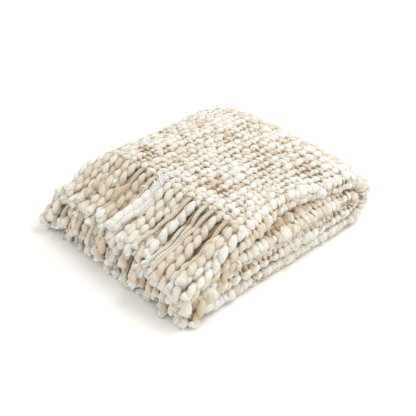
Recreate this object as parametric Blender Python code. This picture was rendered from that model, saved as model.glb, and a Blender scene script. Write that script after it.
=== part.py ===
"""Chunky woven throw blanket, folded in thirds and then twice in half, with a fringe at each end.

Run with: blender --background --python part.py
Metres, +Z up. X runs along the fringe strands, Y along the fringed ends, the floor is z = 0.
"""

import math
import random
from dataclasses import dataclass

import bmesh
import bpy

# The cloth, laid flat, and its fringe.
CLOTH_WIDTH = 1.27
CLOTH_LENGTH = 1.64
PLY = 0.0102
BINDING = 0.010
STRAND_LENGTH = 0.155
STRAND_PITCH = 0.020
STRAND_WIDTH = 0.0056
STRAND_THICKNESS = 0.0066
STRAND_SWAY = 0.0003

# The fold: thirds across the width, then four layers along the length.
PLY_GAP = 0.001
LAYER_GAP = 0.003
INNER_FLAP_SHORT = 0.001
OUTER_FLAP_LONG = 0.010
TOP_END_SETBACK = 0.119
LOWER_END_SETBACK = 0.091
PART_GAP = 0.0003

# How the pile settles under its own weight.
NEAR_SLUMP = 0.12
FAR_SLUMP = 0.23
CORNER_SLUMP = 0.02
UNEVENNESS = 0.012
WAVE_X = 0.37
WAVE_Y = 0.48
SIDE_BOW = 0.004
END_SKEW = 0.006

# The top layer's near edge is tucked in beside its middle, above this share of the height.
TUCK = 0.022
TUCK_X = 0.02
TUCK_SPREAD = 0.09
TUCK_FROM = 0.735
TUCK_RISE = 0.03

# How finely the straights and turns are divided.
STRAIGHT_STEPS = 7
PANEL_STEPS = 8
WIDE_TURN_STEPS = 10
TIGHT_TURN_STEPS = 6
SIDE_WIDE_STEPS = 6
SIDE_TIGHT_STEPS = 4
STRAND_STEPS = 9
STRAND_SUBSTEPS = 12

SEED = 11

PLY_PITCH = PLY + PLY_GAP
LAYER = 2 * PLY_PITCH + PLY
LAYER_PITCH = LAYER + LAYER_GAP
PILE_HEIGHT = 3 * LAYER_PITCH + LAYER
WIDE_TURN = 1.5 * LAYER_PITCH
TIGHT_TURN = 0.5 * LAYER_PITCH

# The flat run of each third is what the side turns and the flap edges leave of the width.
SIDE_TURNS = math.pi * 1.5 * PLY_PITCH
PANEL = (CLOTH_WIDTH - SIDE_TURNS - OUTER_FLAP_LONG + INNER_FLAP_SHORT) / 3
WIDE_SIDE = PLY_PITCH + PLY / 2
TIGHT_SIDE = (PLY_PITCH + PLY) / 2
PILE_WIDTH = PANEL + WIDE_SIDE + TIGHT_SIDE
PANEL_START = -PILE_WIDTH / 2 + WIDE_SIDE
PANEL_END = PANEL_START + PANEL

# The run of each layer is what the three end turns leave of the length.
END_TURNS = math.pi * (WIDE_TURN + 2 * TIGHT_TURN)
LEFT_TURN_REACH = TIGHT_TURN + LAYER / 2
RIGHT_TURN_REACH = WIDE_TURN + LAYER / 2
SETBACKS = TOP_END_SETBACK + LOWER_END_SETBACK - 2 * LEFT_TURN_REACH
RUN = (CLOTH_LENGTH - END_TURNS + SETBACKS) / 4
PILE_LENGTH = LEFT_TURN_REACH + RUN + RIGHT_TURN_REACH
LEFT_FACE = -PILE_LENGTH / 2
LEFT_TURN = LEFT_FACE + LEFT_TURN_REACH
RIGHT_TURN = LEFT_TURN + RUN
TOP_END = LEFT_FACE + TOP_END_SETBACK
LOWER_END = LEFT_FACE + LOWER_END_SETBACK

UP = math.pi / 2
DOWN = -math.pi / 2


@dataclass(frozen=True)
class Station:
    """A place along the cloth: a point of its middle line and the angle of its outward side."""

    x: float
    z: float
    angle: float

    def place(self, y, offset):
        """The point at y that lies `offset` outward from the middle line."""
        x = self.x + offset * math.cos(self.angle)
        z = self.z + offset * math.sin(self.angle)
        return (x, y, z)


@dataclass(frozen=True)
class SectionPoint:
    """A point on the middle line of the folded width, and the unit direction across the ply."""

    y: float
    offset: float
    across_y: float
    across_offset: float

    def skins(self):
        """The points of the two skins here, as (y, offset) pairs."""
        reach_y = PLY / 2 * self.across_y
        reach_offset = PLY / 2 * self.across_offset
        outer = (self.y + reach_y, self.offset + reach_offset)
        inner = (self.y - reach_y, self.offset - reach_offset)
        return outer, inner


@dataclass(frozen=True)
class Third:
    """One third of the width: its flat run, its place in the fold and where its strands start."""

    start: float
    end: float
    offset: float
    across: float
    stagger: float


INNER_FLAP = Third(PANEL_START + INNER_FLAP_SHORT, PANEL_END, offset=0.0, across=-1.0, stagger=5 / 6)
CENTRE = Third(PANEL_END, PANEL_START, offset=PLY_PITCH, across=1.0, stagger=1 / 6)
OUTER_FLAP = Third(
    PANEL_START, PANEL_END + OUTER_FLAP_LONG, offset=-PLY_PITCH, across=-1.0, stagger=0.5
)
THIRDS = (INNER_FLAP, CENTRE, OUTER_FLAP)


@dataclass(frozen=True)
class Finish:
    """A plain surface colour with its roughness."""

    name: str
    colour: tuple
    roughness: float


CLOTH_FINISH = Finish("ivory_wool_weave", (0.76, 0.66, 0.52, 1.0), 0.95)
TOP_FRINGE_FINISH = Finish("cream_wool_strands", (0.80, 0.70, 0.57, 1.0), 0.92)
LOWER_FRINGE_FINISH = Finish("white_wool_strands", (0.84, 0.79, 0.71, 1.0), 0.92)


@dataclass(frozen=True)
class Drape:
    """How the strands of one third lie over the round left end of the two lowest layers.

    From `sink_from`, measured from the pile's left face, they sink to `radius` from that end's
    centre, and go round it to the steepest slope. With a `hold` of 2 they start to sink gently,
    and with 0 at once.
    """

    sink_from: float
    radius: float
    hold: float


@dataclass(frozen=True)
class Fringe:
    """One fringed end: where the cloth ends, and how its strands drape from each of THIRDS."""

    name: str
    end: float
    layer: int
    outward: float
    drapes: tuple
    finish: Finish


STEEPEST = math.radians(66)
TOP_DRAPES = (Drape(0.097, 0.058, 2), Drape(0.094, 0.063, 2), Drape(0.097, 0.054, 2))
LOWER_DRAPES = (Drape(0.0807, 0.0385, 0),) * 3
FRINGES = (
    Fringe("fringe_top", TOP_END, 3, UP, TOP_DRAPES, TOP_FRINGE_FINISH),
    Fringe("fringe_lower", LOWER_END, 2, DOWN, LOWER_DRAPES, LOWER_FRINGE_FINISH),
)


def blend(start, end, share):
    """The value that lies `share` of the way from start to end."""
    return start + (end - start) * share


def spread(start, end, steps):
    """Evenly spaced values from start to end, both included."""
    return [blend(start, end, step / steps) for step in range(steps + 1)]


def layer_height(number):
    """Height of a layer's middle line; layer 0 lies on the floor."""
    return LAYER / 2 + number * LAYER_PITCH


def straight(start, end, number, outward):
    """Stations along one flat layer."""
    return [Station(x, layer_height(number), outward) for x in spread(start, end, STRAIGHT_STEPS)]


def end_turn(centre_x, layers, radius, angles, steps, flip):
    """Stations round the turn that joins two layers; `flip` turns the outward side to its middle."""
    centre_z = sum(layer_height(number) for number in layers) / 2
    stations = []
    for angle in spread(*angles, steps)[1:-1]:
        x = centre_x + radius * math.cos(angle)
        z = centre_z + radius * math.sin(angle)
        stations.append(Station(x, z, angle + flip))
    return stations


def cloth_stations():
    """The length of the cloth, from its top fringed end to its lower one."""
    stations = straight(TOP_END, RIGHT_TURN, 3, UP)
    stations += end_turn(RIGHT_TURN, (3, 0), WIDE_TURN, (UP, DOWN), WIDE_TURN_STEPS, 0.0)
    stations += straight(RIGHT_TURN, LEFT_TURN, 0, DOWN)
    stations += end_turn(LEFT_TURN, (0, 1), TIGHT_TURN, (DOWN, DOWN - math.pi), TIGHT_TURN_STEPS, 0.0)
    stations += straight(LEFT_TURN, RIGHT_TURN, 1, UP)
    stations += end_turn(RIGHT_TURN, (1, 2), TIGHT_TURN, (DOWN, UP), TIGHT_TURN_STEPS, math.pi)
    stations += straight(RIGHT_TURN, LOWER_END, 2, DOWN)
    return stations


def side_turn(centre_y, centre_offset, radius, angles, steps):
    """Points of the middle line round one side fold of the width."""
    points = []
    for angle in spread(*angles, steps)[1:-1]:
        across_y, across_offset = math.cos(angle), math.sin(angle)
        y = centre_y + radius * across_y
        points.append(SectionPoint(y, centre_offset + radius * across_offset, across_y, across_offset))
    return points


def fold_width(runs):
    """The folded width, from the inner flap's edge to the outer one's, with y values per third."""
    flats = [
        [SectionPoint(y, third.offset, 0.0, third.across) for y in run]
        for third, run in zip(THIRDS, runs)
    ]
    half_pitch = PLY_PITCH / 2
    tight = side_turn(PANEL_END, half_pitch, half_pitch, (DOWN, UP), SIDE_TIGHT_STEPS)
    wide = side_turn(PANEL_START, 0.0, PLY_PITCH, (UP, UP + math.pi), SIDE_WIDE_STEPS)
    return flats[0] + tight + flats[1] + wide + flats[2]


def even_runs():
    """Evenly spaced y values along each third."""
    return [spread(third.start, third.end, PANEL_STEPS) for third in THIRDS]


def strand_middles(third):
    """The y of every strand on one third, in the order in which the width runs."""
    count = int(PANEL / STRAND_PITCH)
    margin = (PANEL - count * STRAND_PITCH) / 2
    first = PANEL_START + margin + third.stagger * STRAND_PITCH
    middles = [first + number * STRAND_PITCH for number in range(count)]
    return middles if third.end > third.start else middles[::-1]


def root_runs():
    """The y values along each third that bound the root of every strand."""
    runs = []
    for third in THIRDS:
        half_root = math.copysign(STRAND_PITCH / 4, third.end - third.start)
        run = [third.start]
        for middle in strand_middles(third):
            run += [middle - half_root, middle + half_root]
        runs.append(run + [third.end])
    return runs


def root_places(runs):
    """For every strand, the number of the section point at which its root starts, and its third."""
    places = []
    start = 0
    turns = (SIDE_TIGHT_STEPS - 1, SIDE_WIDE_STEPS - 1, 0)
    for third, run, turn_points in zip(THIRDS, runs, turns):
        places += [(start + number, third) for number in range(1, len(run) - 1, 2)]
        start += len(run) + turn_points
    return places


def ease(share):
    """Smooth step from 0 to 1 over a share that is first held to that range."""
    held = min(max(share, 0.0), 1.0)
    return held * held * (3 - 2 * held)


def settle(point):
    """Where a point of the neat pile lies once the pile has slumped; the floor stays flat."""
    x, y, z = point
    along = min(abs(x) / (PILE_LENGTH / 2), 1.0)
    across = min(abs(y) / (PILE_WIDTH / 2), 1.0)
    wave = math.sin(2 * math.pi * x / WAVE_X + 1) * math.cos(2 * math.pi * y / WAVE_Y + 0.5)
    slump = NEAR_SLUMP if y < 0 else FAR_SLUMP
    height = 1 - slump * across ** 4 - CORNER_SLUMP * (across * along) ** 4 + UNEVENNESS * wave
    level = z / PILE_HEIGHT
    bow = SIDE_BOW * math.cos(along * math.pi / 2) * math.sin(level * math.pi)
    spread_out = 1 + 2 * bow / PILE_WIDTH
    skew = END_SKEW * level * y / PILE_WIDTH
    beside_middle = math.exp(-(((x - TUCK_X) / TUCK_SPREAD) ** 2))
    near = across if y < 0 else 0.0
    tuck = TUCK * beside_middle * near ** 3 * ease((level - TUCK_FROM) / TUCK_RISE)
    return (x + skew, y * spread_out + tuck, z * height)


def start_section(bm, tag, station, points):
    """The section as a strip of faces at the first station; `tag` numbers its vertices."""
    rows = []
    for number, point in enumerate(points):
        pair = []
        for side, (y, offset) in enumerate(point.skins()):
            vertex = bm.verts.new(station.place(y, offset))
            vertex[tag] = 2 * number + side
            pair.append(vertex)
        rows.append(pair)
    return [bm.faces.new((a[0], a[1], b[1], b[0])) for a, b in zip(rows, rows[1:])]


def extrude(bm, faces):
    """Extrude faces in place, and return the new faces and the new vertices."""
    edges = {edge for face in faces for edge in face.edges}
    made = bmesh.ops.extrude_face_region(bm, geom=[*faces, *edges])["geom"]
    new_faces = [item for item in made if isinstance(item, bmesh.types.BMFace)]
    new_vertices = [item for item in made if isinstance(item, bmesh.types.BMVert)]
    return new_faces, new_vertices


def sweep_section(bm, tag, stations, points):
    """Carry the section through every station, and return the faces of its last end."""
    skins = [skin for point in points for skin in point.skins()]
    faces = start_section(bm, tag, stations[0], points)
    for station in stations[1:]:
        faces, vertices = extrude(bm, faces)
        for vertex in vertices:
            vertex.co = station.place(*skins[vertex[tag]])
    return faces


def sunk_height(x, root_z, drape):
    """Height of a strand's middle line at x, before it goes round the left end."""
    rest = layer_height(0) + TIGHT_TURN + drape.radius
    start = LEFT_FACE + drape.sink_from
    share = min(max((start - x) / (start - LEFT_TURN), 0.0), 1.0)
    return rest + (root_z - rest) * (1 - share) ** 2 * (1 + drape.hold * share)


def strand_line(x, z, drape, sway):
    """Middle points of one strand as (x, sideways, z, slope), from its root to its tip."""
    root_z = z
    steps = STRAND_STEPS * STRAND_SUBSTEPS
    step = STRAND_LENGTH / steps
    rest = STRAND_THICKNESS / 2
    line = []
    for number in range(1, steps + 1):
        if x > LEFT_TURN:
            slope = math.atan((sunk_height(x, root_z, drape) - sunk_height(x - step, root_z, drape)) / step)
        else:
            slope = min(math.asin(min((LEFT_TURN - x) / drape.radius, 1.0)), STEEPEST)
        if z - step * math.sin(slope) <= rest:
            slope = math.asin((z - rest) / step)
        x -= step * math.cos(slope)
        z = max(z - step * math.sin(slope), rest)
        if number % STRAND_SUBSTEPS == 0:
            line.append((x, sway * number / steps, z, slope if z > rest else 0.0))
    return line


def grow_strand(bm, tag, root_face, line):
    """Extrude one strand from its root face along its line."""
    corners = {vertex[tag]: vertex.co.copy() for vertex in root_face.verts}
    middle = root_face.calc_center_median()
    side_reach = max(abs(corner.y - middle.y) for corner in corners.values())
    height_reach = max(abs(corner.z - middle.z) for corner in corners.values())
    faces = [root_face]
    for x, sideways, z, slope in line:
        faces, vertices = extrude(bm, faces)
        for vertex in vertices:
            corner = corners[vertex[tag]] - middle
            across = corner.y / side_reach * STRAND_WIDTH / 2
            above = corner.z / height_reach * STRAND_THICKNESS / 2
            vertex.co = (
                x - above * math.sin(slope),
                middle.y + sideways + across,
                z + above * math.cos(slope),
            )


def make_object(name, bm, finish):
    """Turn a finished bmesh into a settled, closed object with its own material."""
    for vertex in bm.verts:
        vertex.co = settle(vertex.co)
    bmesh.ops.recalc_face_normals(bm, faces=bm.faces)
    mesh = bpy.data.meshes.new(name)
    bm.to_mesh(mesh)
    bm.free()
    mesh.materials.append(make_material(finish))
    thing = bpy.data.objects.new(name, mesh)
    bpy.context.scene.collection.objects.link(thing)
    return thing


def make_material(finish):
    """A Principled material in the finish's colour."""
    material = bpy.data.materials.new(finish.name)
    material.use_nodes = True
    shader = material.node_tree.nodes["Principled BSDF"]
    shader.inputs["Base Color"].default_value = finish.colour
    shader.inputs["Roughness"].default_value = finish.roughness
    shader.inputs["Metallic"].default_value = 0.0
    return material


def build_cloth():
    """The one-piece cloth: its folded width swept along its folded length."""
    bm = bmesh.new()
    tag = bm.verts.layers.int.new("section")
    sweep_section(bm, tag, cloth_stations(), fold_width(even_runs()))
    return make_object("throw_body", bm, CLOTH_FINISH)


def build_fringe(fringe):
    """One end's binding strip, just off the cloth, with a strand fused to it at every root."""
    rng = random.Random(SEED + fringe.layer)
    bm = bmesh.new()
    tag = bm.verts.layers.int.new("section")
    runs = root_runs()
    height = layer_height(fringe.layer)
    near = Station(fringe.end - PART_GAP, height, fringe.outward)
    far = Station(fringe.end - PART_GAP - BINDING, height, fringe.outward)
    faces = sweep_section(bm, tag, [near, far], fold_width(runs))
    drapes = dict(zip(THIRDS, fringe.drapes))
    by_place = {min(vertex[tag] for vertex in face.verts) // 2: face for face in faces}
    roots = [(by_place[place], drapes[third]) for place, third in root_places(runs)]
    for root, drape in roots:
        middle = root.calc_center_median()
        sway = rng.uniform(-STRAND_SWAY, STRAND_SWAY)
        line = strand_line(middle.x, middle.z, drape, sway)
        grow_strand(bm, tag, root, line)
    return make_object(fringe.name, bm, fringe.finish)


def centre_on_origin(things):
    """Slide the whole part in X and Y so that its bounding box is centred on the origin."""
    for axis in range(2):
        values = [vertex.co[axis] for thing in things for vertex in thing.data.vertices]
        middle = (min(values) + max(values)) / 2
        for thing in things:
            for vertex in thing.data.vertices:
                vertex.co[axis] -= middle


def main():
    for old in list(bpy.data.objects):
        bpy.data.objects.remove(old, do_unlink=True)
    centre_on_origin([build_cloth(), *(build_fringe(fringe) for fringe in FRINGES)])


main()
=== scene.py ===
"""A folded throw woven from thick-and-thin slub yarn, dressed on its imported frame.

The cloth is woven flat, yarn by yarn, and then folded: each yarn is a swept tube in the flat
cloth's own coordinates (w across the width, s along the length, h off the cloth), which
Fold.place carries to where it lies in the folded pile. The fringe strands are laid down one by
one, each on what already lies under it.
"""

import logging
import math
from dataclasses import dataclass, field, fields
from enum import Enum
from functools import partial

import bpy
import numpy as np
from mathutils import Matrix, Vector


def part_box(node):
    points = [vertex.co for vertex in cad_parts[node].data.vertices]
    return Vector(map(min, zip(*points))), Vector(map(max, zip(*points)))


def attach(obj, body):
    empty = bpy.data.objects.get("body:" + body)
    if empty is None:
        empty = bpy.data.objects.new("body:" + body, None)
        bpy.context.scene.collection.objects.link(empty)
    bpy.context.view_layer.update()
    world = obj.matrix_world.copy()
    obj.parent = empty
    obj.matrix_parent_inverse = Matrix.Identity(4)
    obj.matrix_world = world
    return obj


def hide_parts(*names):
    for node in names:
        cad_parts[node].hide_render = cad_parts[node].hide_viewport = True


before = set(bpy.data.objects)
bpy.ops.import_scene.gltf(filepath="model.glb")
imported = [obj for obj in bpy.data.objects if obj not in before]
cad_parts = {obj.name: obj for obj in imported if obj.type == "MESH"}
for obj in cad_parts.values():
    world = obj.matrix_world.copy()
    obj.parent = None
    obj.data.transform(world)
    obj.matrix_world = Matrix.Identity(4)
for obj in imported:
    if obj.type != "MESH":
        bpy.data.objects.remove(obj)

LOG = logging.getLogger("throw")
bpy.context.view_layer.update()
MM = 0.001
UP, DOWN, BACK = math.pi / 2, -math.pi / 2, math.pi
# A value of the yarns' thread attribute that no point reaches: there is no binder thread.
NO_BINDER = 1.1

Array = np.ndarray
Pair = tuple[float, float]
Tree = bpy.types.NodeTree
Socket = bpy.types.NodeSocket
Material = bpy.types.Material
Piece = bpy.types.Object


# ---- Small helpers ----


def linear(colour: str) -> tuple[float, ...]:
    """Turn an sRGB hex colour into linear light.

    Args:
        colour: The colour as six hex digits after a hash sign.

    Returns:
        Red, green, blue and an alpha of 1, in linear light.
    """
    channels = [int(colour[place : place + 2], 16) / 255 for place in (1, 3, 5)]
    values = [c / 12.92 if c <= 0.04045 else ((c + 0.055) / 1.055) ** 2.4 for c in channels]
    return (*values, 1.0)


def add_node(
    tree: Tree, kind: str, inputs: dict | tuple = (), out: int | str = 0, **settings: object
) -> Socket:
    """Add a node with its settings and inputs.

    Args:
        tree: The node tree that gets the node.
        kind: The node's type name.
        inputs: A socket to link or a plain value for each input, in order or by name.
        out: Which of its outputs is wanted.
        settings: Values for the node's own properties.

    Returns:
        The wanted output.
    """
    node = tree.nodes.new(kind)
    for name, value in settings.items():
        setattr(node, name, value)
    for key, value in inputs.items() if isinstance(inputs, dict) else enumerate(inputs):
        if isinstance(value, Socket):
            tree.links.new(value, node.inputs[key])
        else:
            node.inputs[key].default_value = value
    return node.outputs[out]


def new_material(name: str, sockets: dict) -> tuple[Material, bpy.types.Node]:
    """Start a material on the standard shader.

    Args:
        name: The material's name.
        sockets: Values for the shader's own sockets.

    Returns:
        The material and its shader.
    """
    material = bpy.data.materials.new(name)
    material.use_nodes = True
    shader = material.node_tree.nodes["Principled BSDF"]
    for socket, value in sockets.items():
        shader.inputs[socket].default_value = value
    return material, shader


def add_object(name: str, data: bpy.types.ID | None) -> Piece:
    """Put a new object into the scene, at the origin.

    Args:
        name: The object's name.
        data: Its mesh, lamp or camera.

    Returns:
        The object.
    """
    thing = bpy.data.objects.new(name, data)
    bpy.context.scene.collection.objects.link(thing)
    return thing


def read_values(mesh: bpy.types.Mesh, name: str, width: int = 1) -> Array:
    """Read an attribute of a mesh's points.

    Args:
        mesh: The mesh.
        name: The attribute's name.
        width: How many numbers each point has.

    Returns:
        One number, or one row of them, for each point.
    """
    values = np.empty(len(mesh.vertices) * width)
    data = mesh.attributes[name].data
    data.foreach_get("value" if width == 1 else "vector", values)
    return values if width == 1 else values.reshape(-1, width)


def store_values(mesh: bpy.types.Mesh, name: str, values: Array) -> None:
    """Store one number for each of a mesh's points."""
    data = mesh.attributes.new(name, "FLOAT", "POINT").data
    data.foreach_set("value", values.astype(np.float32))


def write_points(mesh: bpy.types.Mesh, points: Array) -> None:
    """Move a mesh's points to rows of three coordinates."""
    mesh.vertices.foreach_set("co", points.ravel())
    mesh.update()


def ease(share: Array) -> Array:
    """Smooth step from 0 to 1 over a share that is first held to that range."""
    held = np.clip(share, 0.0, 1.0)
    return held * held * (3 - 2 * held)


def between(place: Array, start: float, end: float, soft: float = 12 * MM) -> Array:
    """1 between two places, with a soft rise and fall outside them."""
    return ease((place - start) / soft + 1) * ease((end - place) / soft + 1)


# ---- The fold ----


@dataclass(frozen=True)
class Stretch:
    """One straight or turn of a folded line, which takes up `length` of the cloth.

    A straight starts at (u, v) and runs along `heading`. A turn has its centre at (u, v), its
    radius, and the angle at which it starts; `spin` is the sign in which that angle changes.
    The cloth's outer side faces `out`, which in a turn is counted from the turn's own angle.
    """

    length: float
    u: float
    v: float
    heading: float = 0.0
    radius: float = 0.0
    start: float = 0.0
    spin: int = 0
    out: float = 0.0

    def at(self, run: Array) -> tuple[Array, Array, Array]:
        """Point and outward angle of the line after `run` of this stretch.

        Args:
            run: Distances from the start of the stretch.

        Returns:
            The two coordinates and the angle of the outward side.
        """
        if not self.spin:
            u = self.u + run * math.cos(self.heading)
            v = self.v + run * math.sin(self.heading)
            return u, v, np.full_like(run, self.out)
        angle = self.start + self.spin * run / self.radius
        u = self.u + self.radius * np.cos(angle)
        v = self.v + self.radius * np.sin(angle)
        return u, v, angle + self.out


def follow(stretches: list[Stretch], run: Array) -> tuple[Array, Array, Array]:
    """Follow a folded line that is made of several stretches.

    Args:
        stretches: The straights and turns in order.
        run: Distances along the whole line; those outside it go on straight.

    Returns:
        The two coordinates and the outward angle at each distance.
    """
    ends = np.cumsum([stretch.length for stretch in stretches])
    which = np.clip(np.searchsorted(ends, run, side="right"), 0, len(stretches) - 1)
    u, v, out = (np.empty_like(run) for _ in range(3))
    for number, stretch in enumerate(stretches):
        here = which == number
        if here.any():
            u[here], v[here], out[here] = stretch.at(run[here] - (ends[number] - stretch.length))
    return u, v, out


@dataclass
class Fold:
    """How the flat cloth is folded: in thirds across its width, then into four layers."""

    width: float = 1.27
    length: float = 1.64
    ply: float = 10.2 * MM
    ply_gap: float = 1.0 * MM
    layer_gap: float = 3.0 * MM
    inner_flap_short: float = 1.0 * MM
    outer_flap_long: float = 10.0 * MM
    top_end_setback: float = 119.0 * MM
    lower_end_setback: float = 91.0 * MM
    # How much lower the pile lies at its sides, corners and right turn, as shares of its height.
    near_slump: float = 0.12
    far_slump: float = 0.25
    corner_slump: float = 0.02
    turn_slump: float = 0.035
    # Slow waves over the pile, as a share of its height, and their lengths in metres.
    unevenness: float = 0.012
    wave_x: float = 0.37
    wave_y: float = 0.48
    side_bow: float = 4.0 * MM
    end_skew: float = 6.0 * MM
    # Where the upper layers are drawn in at the near side, from this share of the height up.
    tuck: float = 36.0 * MM
    tuck_x: float = 25.0 * MM
    tuck_spread: float = 95.0 * MM
    tuck_from: float = 0.65
    tuck_rise: float = 0.2
    squareness: float = 4.0
    # The slits between layers: how far the shade reaches from them, and how far in it starts.
    slit_reach: float = 9 * MM
    slit_fade: float = 5 * MM
    slit_start: float = 8 * MM
    slit_deepens: float = 14 * MM
    sight_margin: float = 34 * MM
    shift: Array = field(default_factory=lambda: np.zeros(3))

    def __post_init__(self) -> None:
        """Work out the pile's own sizes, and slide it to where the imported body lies."""
        self.pitch = self.ply + self.ply_gap
        self.layer = 2 * self.pitch + self.ply
        self.step = self.layer + self.layer_gap
        self.height = 3 * self.step + self.layer
        self.wide = 1.5 * self.step
        self.tight = 0.5 * self.step
        turns = math.pi * 1.5 * self.pitch
        self.panel = (self.width - turns - self.outer_flap_long + self.inner_flap_short) / 3
        wide_side, tight_side = self.pitch + self.ply / 2, (self.pitch + self.ply) / 2
        self.pile_width = self.panel + wide_side + tight_side
        self.y_start = -self.pile_width / 2 + wide_side
        self.y_end = self.y_start + self.panel
        left, right = self.tight + self.layer / 2, self.wide + self.layer / 2
        setbacks = self.top_end_setback + self.lower_end_setback - 2 * left
        self.run = (self.length - math.pi * (self.wide + 2 * self.tight) + setbacks) / 4
        self.pile_length = left + self.run + right
        self.x_left = -self.pile_length / 2
        self.x_left_turn = self.x_left + left
        self.x_right_turn = self.x_left_turn + self.run
        self._lay_out_width()
        self._lay_out_length()
        self._slide_to_body()

    def _lay_out_width(self) -> None:
        """The folded width as stretches in (y, offset), from the inner flap to the outer one."""
        inner = self.panel - self.inner_flap_short
        half = self.pitch / 2
        self.across = [
            Stretch(inner, self.y_start + self.inner_flap_short, 0.0, out=DOWN),
            Stretch(UP * self.pitch, self.y_end, half, radius=half, start=DOWN, spin=1),
            Stretch(self.panel, self.y_end, self.pitch, heading=BACK, out=UP),
            Stretch(BACK * self.pitch, self.y_start, 0.0, radius=self.pitch, start=UP, spin=1),
            Stretch(self.panel + self.outer_flap_long, self.y_start, -self.pitch, out=DOWN),
        ]
        ends = np.cumsum([stretch.length for stretch in self.across])
        self.tight_fold = (ends[0], ends[1])
        self.wide_fold = (ends[2], ends[3])

    def _lay_out_length(self) -> None:
        """The folded length as stretches in (x, z), from the top fringed end to the lower one."""
        z = [self.layer / 2 + number * self.step for number in range(4)]
        top_end = self.x_left + self.top_end_setback
        lower_end = self.x_left + self.lower_end_setback
        right, left, wide, tight = self.x_right_turn, self.x_left_turn, self.wide, self.tight
        tight_turn, lower, upper = BACK * tight, (z[0] + z[1]) / 2, (z[1] + z[2]) / 2
        self.along = [
            Stretch(right - top_end, top_end, z[3], out=UP),
            Stretch(BACK * wide, right, (z[3] + z[0]) / 2, radius=wide, start=UP, spin=-1),
            Stretch(self.run, right, z[0], heading=BACK, out=DOWN),
            Stretch(tight_turn, left, lower, radius=tight, start=DOWN, spin=-1),
            Stretch(self.run, left, z[1], out=UP),
            Stretch(tight_turn, right, upper, radius=tight, start=DOWN, spin=1, out=BACK),
            Stretch(right - lower_end, right, z[2], heading=BACK, out=DOWN),
        ]
        ends = np.cumsum([stretch.length for stretch in self.along])
        self.right_turn = (self.along[0].length, ends[1])
        self.left_turn = (ends[3] - self.along[3].length, ends[3])
        self.turns = [(ends[0], ends[1]), (ends[2], ends[3]), (ends[4], ends[5])]

    def _slide_to_body(self) -> None:
        """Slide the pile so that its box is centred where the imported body's box is."""
        columns, rows = 260, 300
        w, s = np.meshgrid(
            np.linspace(0, self.width, columns), np.linspace(0, self.length, rows)
        )
        w, s = w.ravel(), s.ravel()
        skins = [self.place(w, s, np.full(w.size, h)) for h in (-self.ply / 2, self.ply / 2)]
        points = np.concatenate(skins)
        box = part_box("throw_body")
        middle = (np.array(box[0]) + np.array(box[1])) / 2
        own = (points.min(axis=0) + points.max(axis=0)) / 2
        self.shift = np.array([middle[0] - own[0], middle[1] - own[1], 0.0])

    def settle(self, x: Array, y: Array, z: Array, middle: Array) -> Array:
        """Move points of the neat pile to where they lie once it has slumped.

        Args:
            x: Across the fringed ends.
            y: Along the fringed ends.
            z: Height above the floor.
            middle: Height of the middle of the layer that each point is in.

        Returns:
            The points as rows of x, y and z.
        """
        along = np.minimum(np.abs(x) / (self.pile_length / 2), 1.0)
        across = np.minimum(np.abs(y) / (self.pile_width / 2), 1.0)
        wave = np.sin(2 * math.pi * x / self.wave_x + 1)
        wave = wave * np.cos(2 * math.pi * y / self.wave_y + 0.5)
        slump = np.where(y < 0, self.near_slump, self.far_slump)
        height = 1 - slump * across**4 - self.corner_slump * (across * along) ** 4
        height -= self.turn_slump * ease(4 * x / self.pile_length - 1)
        height += self.unevenness * wave
        level = z / self.height
        bow = self.side_bow * np.cos(along * math.pi / 2) * np.sin(level * math.pi)
        skew = self.end_skew * level * y / self.pile_width
        beside_middle = np.exp(-(((x - self.tuck_x) / self.tuck_spread) ** 2))
        near = np.where(y < 0, across, 0.0) ** 3
        tucked = ease((middle / self.height - self.tuck_from) / self.tuck_rise)
        y = y * (1 + 2 * bow / self.pile_width) + self.tuck * beside_middle * near * tucked
        return np.stack([x + skew, y, z * height], axis=1)

    def place(self, w: Array, s: Array, h: Array) -> Array:
        """Where points of the flat cloth lie in the folded pile.

        Args:
            w: Distances across the width.
            s: Distances along the length.
            h: Heights off the middle of the cloth, on its outer side.

        Returns:
            The points as rows of x, y and z.
        """
        y, offset, out = follow(self.across, w)
        power = self.squareness
        rounded = (np.abs(np.cos(out)) ** power + np.abs(np.sin(out)) ** power) ** (-1 / power)
        y = y + h * np.cos(out) + (rounded - 1) * self.ply * np.cos(out)
        offset = offset + h * np.sin(out)
        x, middle, face = follow(self.along, s)
        x = x + offset * np.cos(face)
        z = middle + offset * np.sin(face)
        return self.settle(x, y, z, middle) + self.shift

    def slit_shade(self, w: Array, s: Array, h: Array) -> Array:
        """How much painted shade points get from lying deep in the slits between the folded layers.

        Args:
            w: Distances across the width.
            s: Distances along the length.
            h: Heights off the middle of the cloth, on its outer side.

        Returns:
            The painted shade as shares from 0 to 1; the outer side of the end turns has none.
        """
        y, offset, out = follow(self.across, w)
        _, z, face = follow(self.along, s)
        offset = offset + h * np.sin(out)
        z = z + offset * np.sin(face)
        slits = [(number + 1) * self.step - self.layer_gap / 2 for number in range(3)]
        near = np.min([np.abs(z - slit) for slit in slits], axis=0)
        inward = self.pile_width / 2 - np.abs(y + h * np.cos(out))
        for start, end in (self.left_turn, self.right_turn):
            inward[(s > start) & (s < end) & (offset > 0)] = 0.0
        deep = ease((inward - self.slit_start) / self.slit_deepens)
        return ease((self.slit_reach - near) / self.slit_fade) * deep

    def spread_across(self, w: Array) -> Array:
        """How much wider apart the warps lie on the outside of the side folds."""
        wide = 1 + 0.5 * self.ply / self.pitch * between(w, *self.wide_fold)
        return wide + self.ply / self.pitch * between(w, *self.tight_fold)

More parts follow.
